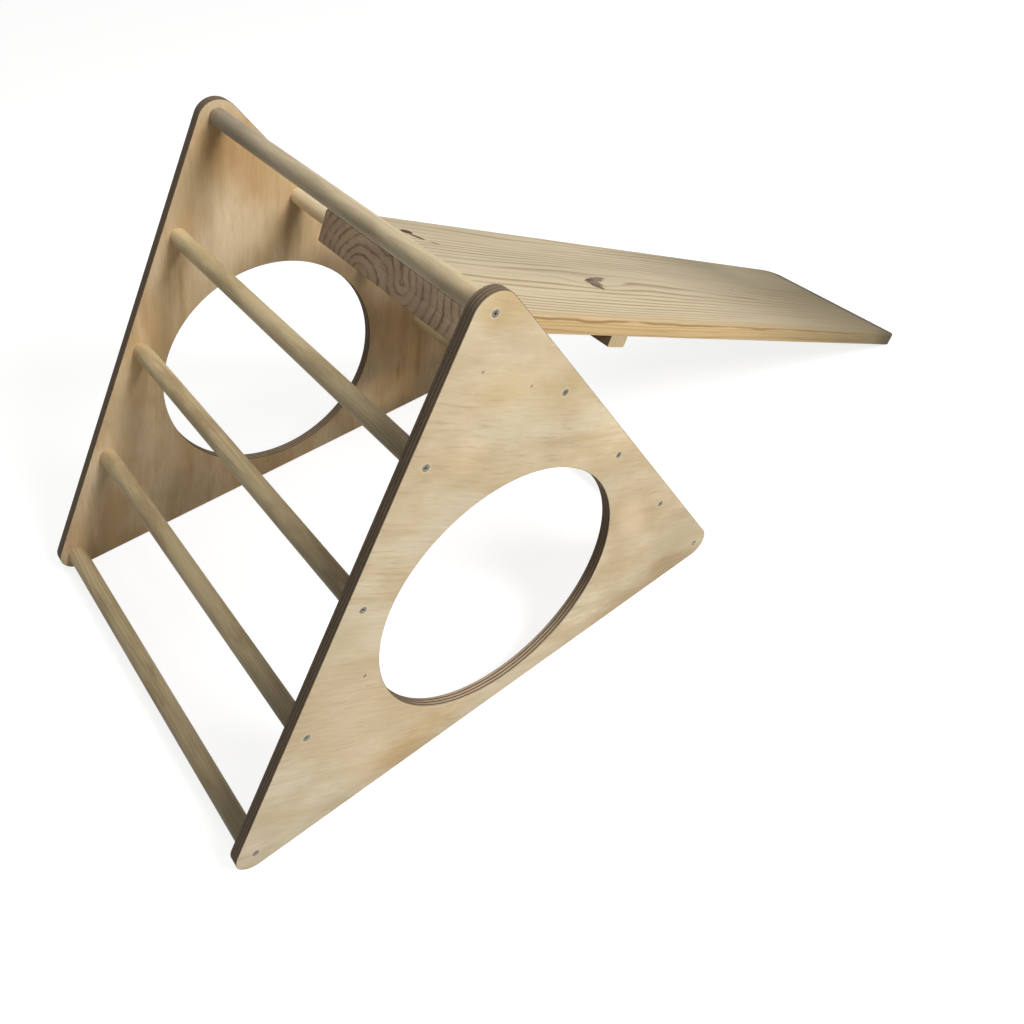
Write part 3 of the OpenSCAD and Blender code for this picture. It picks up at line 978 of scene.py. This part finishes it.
def board_place(f, sizes):
    """Place in the board's own frame: along, across and up from the rung's axis."""
    matrix = board_matrix(sizes)
    return f.add("ShaderNodeMapping", {
        "Vector": f.place(), "Location": matrix.translation, "Rotation": matrix.to_euler()},
        vector_type="TEXTURE")


def board_finish(sizes, half_width, finish):
    """Planed pine: wavy lines down the board, close at its near side, with knots and checks."""
    f = Finish("Board pine", finish.board_pale)
    place = board_place(f, sizes)
    along, across, up = f.split(place)
    from_near, to_near = across + half_width, across * -1.0
    from_top, to_foot = along + sizes.above, along - sizes.below

    rings = from_near * 98.0 - from_near * from_near * 85.0 + up * 105.0
    for bend, reach in ((f.noise(place, (0.95, 5.0, 5.0), 1.0), 10.0),
                        (f.noise(place, (2.6, 16.0, 16.0), 1.0), 1.7),
                        (f.noise(place, (9.0, 60.0, 60.0), 1.0), 0.4),
                        (f.spot(along, across, *KNOT), 0.8),
                        (f.spot(along, across, *SMALL_KNOT), 0.5)):
        rings = rings + bend * reach
    lines = f.grain(rings, 0.45)
    weight = f.step(f.noise(place, (1.8, 22.0, 22.0)), 0.38, 0.62, 0.12, 1.0)
    f.coat(lines * weight, finish.board_dark)
    patch = f.noise(place, (1.6, 8.0, 8.0), 3.0)
    f.shade(f.step(patch, 0.25, 0.75, 0.90, 1.08))
    # Painted shade over the far half of the board's upper part.
    painted_shade_far_top = f.step(along, 0.05, 0.55, 1.0, 0.0) * f.step(across, 0.0, half_width)
    f.shade(f.ramp(painted_shade_far_top, 0.0, 1.0, 0.97, 0.84))
    streak = f.noise(place, (5.0, 150.0, 150.0), 2.0, 0.6)
    f.coat(f.step(streak, 0.52, 0.75) * 0.38, finish.board_dark)

    # The yellow wood of the near side and of the long edges, with a dark line under the top.
    f.coat(f.step(to_near, half_width - 0.032, half_width - 0.006) * 0.60, finish.board_glow)
    edge = f.step(f.most(to_near, across - 0.0012), half_width - 0.0030, half_width - 0.0008)
    bands = f.grain(f.noise(place, (2.2, 1.0, 60.0)) * 4.0 + up * 150.0, 0.40)
    f.coat(edge * 0.95, f.mix(bands * 0.55, finish.board_edge, finish.board_band))
    wave = (f.noise(place, (9.0, 1.0, 1.0)) - 0.5) * 0.012
    wave = up - (rung_radius() + sizes.thick - 0.0015) + wave
    f.coat(edge * f.step(abs(wave), 0.0010, 0.0030, 1.0, 0.0) * 0.75, finish.board_line)

    # Knots and drying checks.
    ragged = (f.noise(place, (70.0, 150.0, 60.0), 3.0, 0.6) - 0.5) * 1.3
    heart = f.most(*(f.spot(along, across, *mark) for mark in KNOT_HEARTS))
    f.coat(f.step(heart + ragged, 0.30, 0.58) * 0.86, finish.board_knot)
    rim = f.most(*(f.spot(along, across, *mark) for mark in KNOT_RIMS))
    f.coat(f.step(rim + ragged, 0.25, 0.55) * 0.95, finish.board_rim)
    dot = f.spot(along, across, SMALL_KNOT[0], SMALL_KNOT_HEART)
    f.coat(f.step(dot, 0.3, 0.8) * 0.6, finish.board_knot)
    checks = f.most(*(f.step(f.spot(along, across, *mark), 0.20, 0.45) * depth
                      for *mark, depth in CHECKS))
    f.coat(checks * 0.92, finish.board_check)

    # Painted light and shade: a lit strip and a shaded arris at the upper end, a foot that darkens,
    # a lit far side near the foot and a shaded toe.
    # Painted light on the top just below the upper end, and painted shade of the top rung on the
    # upper end's arris.
    f.shade(f.step(from_top, 0.004, 0.014, 1.35, 1.0))
    f.shade(f.step(from_top, 0.0008, 0.0024, 0.25, 1.0))
    # Painted shade: darker toward the foot, more on the top and the near side than underneath.
    f.shade(f.ramp(along, 0.45, 0.92, 1.0, 0.80))
    off_underside = f.step(up - rung_radius(), 0.0005, 0.0040, 0.35, 1.0)
    f.coat(f.ramp(to_foot, -0.66, -0.04) * off_underside * 0.95, finish.board_foot)
    # Painted light on the far side of the board near the foot.
    painted_light_far_foot = f.step(along, 0.85, 1.00) * f.step(across, 0.02, 0.14)
    f.shade(f.ramp(painted_light_far_foot, 0.0, 1.0, 0.97, 1.24))
    # Painted shade on the foot's rounded end and along its near corner.
    corner = f.step(to_foot, -0.130, -0.025) * f.step(from_near, 0.004, 0.024, 0.8, 0.0)
    f.coat(f.most(f.step(to_foot, -0.050, -0.020), corner) * 0.90, finish.board_lip)
    fibre = f.noise(place, (14.0, 600.0, 600.0), 2.0, 0.6)
    f.shade(f.ramp(fibre, 0.2, 0.8, 0.91, 1.06))
    return f.close(f.most(f.step(patch, 0.3, 0.8, 0.55, 0.68), checks),
                   lines * 0.12 + fibre * 0.45 - checks * 2.0, 0.0003, 0.10)


def end_grain(sizes, finish):
    """Growth rings seen across the grain: an arch, then a bowl, with long legs beside them."""
    f = Finish("Pine end grain", finish.end_pale)
    place = board_place(f, sizes)
    _, across, up = f.split(place)
    height = up - (rung_radius() + sizes.rest_gap)

    def distance(a, b):
        return f.math("SQRT", a * a + b * b)

    aside = across - 0.060
    arch = distance(f.most(aside, aside * -0.55), height + 0.026) * 74.0
    lean = f.most(height - 0.002, 0.0) * 0.5
    below = f.math("MINIMUM", height - 0.002, 0.0) * 1.25
    bowl = 5.2 - distance(across + 0.033 - lean, below) * 64.5
    swell = f.noise(place, (6.0, 14.0, 22.0))
    wobble = f.noise(place, (6.0, 70.0, 110.0))
    rings = bowl + (arch - bowl) * f.step(across, -0.015, 0.020) + swell * 1.3 + wobble * 0.40
    lines = f.grain(rings, 0.48)
    weight = f.step(f.noise(place, (10.0, 34.0, 50.0), 1.0), 0.32, 0.66, 0.30, 0.95)
    f.coat(lines * weight, finish.end_dark)
    f.coat(f.grain(rings * 3.0 + 0.4, 0.2) * 0.22, finish.end_dark)
    pores = f.noise(place, (500.0, 900.0, 900.0), 2.0, 0.7)
    cloud = f.noise(place, (10.0, 25.0, 25.0), 3.0)
    f.shade(f.ramp(pores, 0.2, 0.8, 0.84, 1.12))
    f.shade(f.step(cloud, 0.25, 0.75, 0.84, 1.12))
    f.coat(f.step(across, 0.110, 0.165, 0.0, 0.35), finish.end_heart)
    # The seam under the board, and painted shade of the top rung along the board's top edge.
    f.shade(f.step(abs(height), 0.0003, 0.0010, 0.86, 1.0))
    f.shade(f.step(height - sizes.thick, -0.0016, -0.0002, 1.0, 0.22))
    return f.close(0.80, pores * 0.6 + lines * 0.3, 0.0003, 0.2)


def cleat_finish(name, sizes, finish, crosswise):
    """Planed pine. Its grain runs along the board, or across it with painted shade on its uphill
    face.
    """
    f = Finish(name, finish.cleat_pale)
    place = board_place(f, sizes)
    painted_shade_uphill = 0.0
    if crosswise:
        along, across, up = f.split(place)
        painted_shade_uphill = f.step(along - sizes.lower_cleat_at, 0.0004, 0.0016, 0.75, 0.0)
        place = f.join(across, along, up)
    _, across, up = f.split(place)
    drift = f.noise(place, (3.0, 14.0, 14.0))
    lines = f.grain(across * 210.0 + up * 130.0 + drift * 5.0)
    fibre = f.noise(place, (16.0, 560.0, 560.0), 2.0, 0.6)
    f.coat(lines * 0.5, finish.cleat_dark)
    # Painted shade on the lower cleat's uphill face.
    f.coat(painted_shade_uphill, finish.cleat_brown)
    f.shade(f.ramp(fibre, 0.2, 0.8, 0.90, 1.06))
    return f.close(0.64, fibre * 0.5 + lines * 0.5, 0.00025, 0.3)


def zinc_finish(finish):
    """Bright zinc plate, a little cloudy and scratched."""
    f = Finish("Zinc plate", finish.zinc)
    place = f.place()
    cloud = f.noise(place, (420.0, 420.0, 420.0), 3.0)
    scratch = f.noise(place, (900.0, 2600.0, 900.0))
    f.shade(f.step(cloud, 0.3, 0.7, 0.75, 1.15))
    return f.close(f.step(cloud, 0.3, 0.7, 0.30, 0.48), scratch, 0.00003, metallic=1.0)


def pine_ends(given):
    """The end grain that the board and the upper cleat share."""
    return bpy.data.materials.get("Pine end grain") or end_grain(given.board, given.finish)


# ---- operators ----------------------------------------------------------------------------

class SLIDE_OT_side_panels(Operator):
    """Builds the two plywood side panels"""
    bl_idname = "toddler_slide.side_panels"
    bl_label = "Side Panels"

    def execute(self, context):
        given = context.scene.toddler_slide
        sizes, finish = given.panel, given.finish
        near = plywood_face("Plywood near panel", finish, "veneer", sizes.near_grain, 1.0,
                            NEAR_TONE_AND_LIGHTING_PATCHES, pins=NEAR_PINS, bend=-0.22)
        far = plywood_face("Plywood far panel", finish, "far", sizes.far_grain, 2.0,
                           FAR_TONE_AND_LIGHTING_PATCHES, redness=0.35)
        edge = plywood_edge(finish, sizes)
        for node, face in zip(PANELS, (near, far)):
            place_piece(panel_mesh(node, sizes, given.screw), FRAME_BODY,
                        (node,), (face, edge))
        return {"FINISHED"}


class SLIDE_OT_rungs(Operator):
    """Builds the nine dowel rungs"""
    bl_idname = "toddler_slide.rungs"
    bl_label = "Rungs"

    def execute(self, context):
        given = context.scene.toddler_slide
        material = dowel_finish(given.finish)
        tree = rungs_tree(given.rung, rung_radius(), width_of("top_rung"), material)
        mesh = smooth(tree.bake("Rungs", [middle(rung) for rung in RUNGS]), TURNED_SHARP)
        place_piece(mesh, FRAME_BODY, RUNGS, (material,))
        return {"FINISHED"}


class SLIDE_OT_board(Operator):
    """Builds the slide board"""
    bl_idname = "toddler_slide.board"
    bl_label = "Slide Board"

    def execute(self, context):
        given = context.scene.toddler_slide
        width = width_of("slide_board")
        pine = board_finish(given.board, width / 2, given.finish)
        place_piece(board_mesh(given.board, width), SLIDE_BODY, ("slide_board",),
                    (pine, pine_ends(given)), board_matrix(given.board))
        return {"FINISHED"}


class SLIDE_OT_cleats(Operator):
    """Builds the upper cleat, which hooks over its rung, and the lower cleat"""
    bl_idname = "toddler_slide.cleats"
    bl_label = "Cleats"

    def execute(self, context):
        given = context.scene.toddler_slide
        sizes, width = given.board, width_of("upper_cleat")
        along = cleat_finish("Upper cleat pine", sizes, given.finish, False)
        cross = cleat_finish("Lower cleat pine", sizes, given.finish, True)
        upper = cleat_mesh("Upper_cleat", sizes, width, -sizes.above, sizes.upper_cleat_width,
                           sizes.upper_cleat_thick, True)
        lower = cleat_mesh("Lower_cleat", sizes, width, sizes.lower_cleat_at,
                           sizes.lower_cleat_width, sizes.lower_cleat_thick, False)
        for mesh, node, materials in ((upper, "upper_cleat", (along, pine_ends(given))),
                                      (lower, "lower_cleat", (cross, cross))):
            place_piece(mesh, SLIDE_BODY, (node,), materials, board_matrix(sizes))
        return {"FINISHED"}


class SLIDE_OT_screws(Operator):
    """Builds the screws of the rungs and of the cleats"""
    bl_idname = "toddler_slide.screws"
    bl_label = "Screws"

    def execute(self, context):
        given = context.scene.toddler_slide
        sizes, board = given.screw, given.board
        zinc = zinc_finish(given.finish)
        kinds = []
        for node, end, turn in zip(PANELS, (0, 1), (-math.pi / 2, math.pi / 2)):
            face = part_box(node)[end].y
            places = [Vector((middle(rung).x, face, middle(rung).z)) for rung in RUNGS]
            kinds.append((places, (turn, 0.0, 0.0), sizes.rung_length))
        mesh = bake_screws(sizes, "Frame_screws", kinds, zinc)
        place_piece(mesh, FRAME_BODY, FRAME_SCREWS, (zinc,))

        reach = width_of("slide_board") / 2 - board.screw_inset
        matrix = board_matrix(board)
        under = rung_radius() + board.rest_gap
        kinds = []
        for start, wide, thick in (
                (-board.above, board.upper_cleat_width, board.upper_cleat_thick),
                (board.lower_cleat_at, board.lower_cleat_width, board.lower_cleat_thick)):
            places = [matrix @ Vector((start + wide / 2, across, under - thick))
                      for across in (-reach, 0.0, reach)]
            kinds.append((places, tuple(matrix.to_euler()), thick + sizes.cleat_bite))
        mesh = bake_screws(sizes, "Cleat_screws", kinds, zinc)
        place_piece(mesh, SLIDE_BODY, CLEAT_SCREWS, (zinc,))
        return {"FINISHED"}


class SLIDE_OT_stage(Operator):
    """Sets the floor, the lights and the camera"""
    bl_idname = "toddler_slide.stage"
    bl_label = "Stage"

    def floor(self, settings, centre, level):
        bm = bmesh.new()
        bmesh.ops.create_grid(bm, x_segments=4, y_segments=4, size=settings.floor_reach)
        mesh = bpy.data.meshes.new("Floor")
        bm.to_mesh(mesh)
        bm.free()
        floor = add_object("Floor", mesh)
        floor.location = (centre.x, centre.y, level - settings.floor_drop)
        floor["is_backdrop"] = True
        f = Finish("Studio floor")
        matt = f.add("ShaderNodeBsdfDiffuse", {"Color": (*settings.floor, 1.0)})
        glow = f.add("ShaderNodeEmission", {
            "Color": (1.0, 1.0, 1.0, 1.0), "Strength": f.seen() * settings.floor_glow})
        both = f.add("ShaderNodeAddShader", {0: matt, 1: glow})
        f.node("ShaderNodeOutputMaterial", {"Surface": both})
        mesh.materials.append(f.material)

    def sky(self, settings):
        world = bpy.data.worlds.new("Studio")
        world.use_nodes = True
        world.node_tree.nodes.clear()
        nodes = Nodes(world.node_tree)
        level = nodes.ramp(nodes.seen(), 0.0, 1.0, settings.sky, settings.seen_sky)
        sky = nodes.add("ShaderNodeBackground", {
            "Color": (1.0, 1.0, 1.0, 1.0), "Strength": level})
        nodes.node("ShaderNodeOutputWorld", {"Surface": sky})
        bpy.context.scene.world = world

    def light(self, name, offset, target, size, power, tint):
        data = bpy.data.lights.new(name, "AREA")
        data.shape = "DISK"
        data.size = size
        data.energy = power
        data.color = tint
        lamp = add_object(name, data)
        lamp.location = target + offset
        lamp.rotation_euler = (-offset).to_track_quat("-Z", "Y").to_euler()

    def camera(self, settings):
        data = bpy.data.cameras.new("Camera")
        data.sensor_width = 36.0
        data.lens = settings.lens
        data.shift_x, data.shift_y = settings.shift_x, settings.shift_y
        data.clip_start, data.clip_end = 0.05, 60.0
        camera = add_object("Camera", data)
        camera.matrix_world = Matrix.LocRotScale(Vector(settings.camera_at),
                                                 Euler(settings.camera_turn), None)
        bpy.context.scene.camera = camera

    def execute(self, context):
        settings = context.scene.toddler_slide.stage
        low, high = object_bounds()
        centre = (low + high) / 2
        self.floor(settings, centre, low.z)
        self.sky(settings)
        for (name, offset, size), power in zip(LIGHTS, (settings.key_power, settings.top_power)):
            self.light(name, Vector(offset), centre, size, power, settings.light)
        self.camera(settings)
        context.scene.view_settings.view_transform = "Standard"
        return {"FINISHED"}


class SLIDE_PT_sidebar(Panel):
    """Lists the pieces and their sizes"""
    bl_idname = "SLIDE_PT_sidebar"
    bl_label = "Toddler Slide"
    bl_space_type = "VIEW_3D"
    bl_region_type = "UI"
    bl_category = "Toddler Slide"

    def draw(self, context):
        given = context.scene.toddler_slide
        for operator in BUILD_ORDER:
            self.layout.operator(operator.bl_idname)
        for part in ToddlerSlide.__annotations__:
            group = getattr(given, part)
            box = self.layout.box()
            for name in group.__annotations__:
                box.prop(group, name)


BUILD_ORDER = (SLIDE_OT_side_panels, SLIDE_OT_rungs, SLIDE_OT_board, SLIDE_OT_cleats,
               SLIDE_OT_screws, SLIDE_OT_stage)
CLASSES = (PanelSizes, RungSizes, BoardSizes, ScrewSizes, Finishes, StageSettings,
           ToddlerSlide) + BUILD_ORDER + (SLIDE_PT_sidebar,)


def register():
    for cls in CLASSES:
        bpy.utils.register_class(cls)
    bpy.types.Scene.toddler_slide = PointerProperty(type=ToddlerSlide)


def unregister():
    del bpy.types.Scene.toddler_slide
    for cls in reversed(CLASSES):
        bpy.utils.unregister_class(cls)


def main():
    register()
    for operator in BUILD_ORDER:
        getattr(bpy.ops.toddler_slide, operator.bl_idname.split(".")[1])()


if __name__ == "__main__":
    main()
